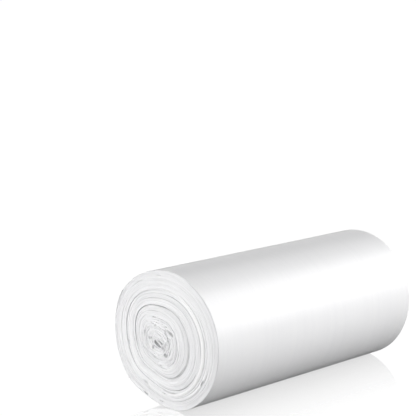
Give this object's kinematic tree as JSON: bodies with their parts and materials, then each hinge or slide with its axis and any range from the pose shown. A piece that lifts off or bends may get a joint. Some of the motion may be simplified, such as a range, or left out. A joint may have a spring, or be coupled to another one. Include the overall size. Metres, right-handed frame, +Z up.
{
  "type": "bin bag roll",
  "caption": "Roll of thin white bin bags, wound without a core and lying on its side, with its middle slid out of one end.",
  "frame": {"origin": "on the ground below the middle of the roll, at the centre of the bottom of its box", "axes": "+X along the roll's axis, from the end that the winding has slid out of to the hollow end; +Y to the back, where the loose end lies; +Z up"},
  "size_m": [0.2356, 0.1041, 0.1014],
  "materials": {
    "film": "satin"
  },
  "bodies": {
    "root": {"bag_roll": "film"}
  },
  "joints": []
}
